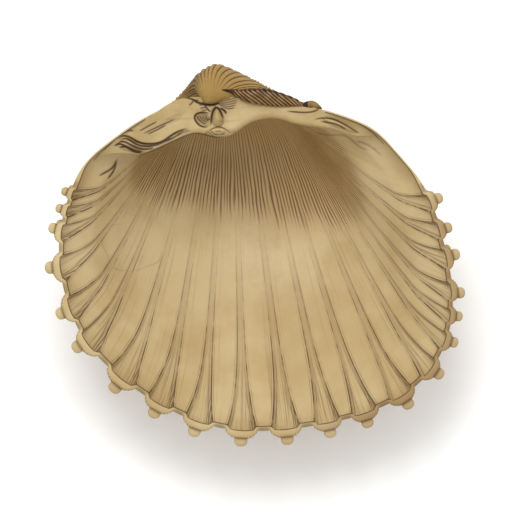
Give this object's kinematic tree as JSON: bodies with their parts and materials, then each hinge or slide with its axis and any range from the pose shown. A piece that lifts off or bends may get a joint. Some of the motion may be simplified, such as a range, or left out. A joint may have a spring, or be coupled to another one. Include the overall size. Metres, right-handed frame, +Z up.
{
  "type": "cockle shell valve",
  "caption": "One valve of a ribbed, knobbed cockle lying on its rounded back with the hollow up, with its hinge plate, teeth and dark ligament.",
  "frame": {"origin": "middle of the bounding box on the surface that the shell lies on", "axes": "+Z up out of the hollow, +Y from the lower edge towards the beak, +X along the hinge towards the ligament"},
  "size_m": [0.0838, 0.0767, 0.034],
  "materials": {
    "shell": "satin, chalky carbonate of lime with a faint gloss inside",
    "ligament": "dry dark brown horn, finely ridged"
  },
  "bodies": {
    "root": {"valve": "shell", "ligament": "ligament"}
  },
  "joints": []
}
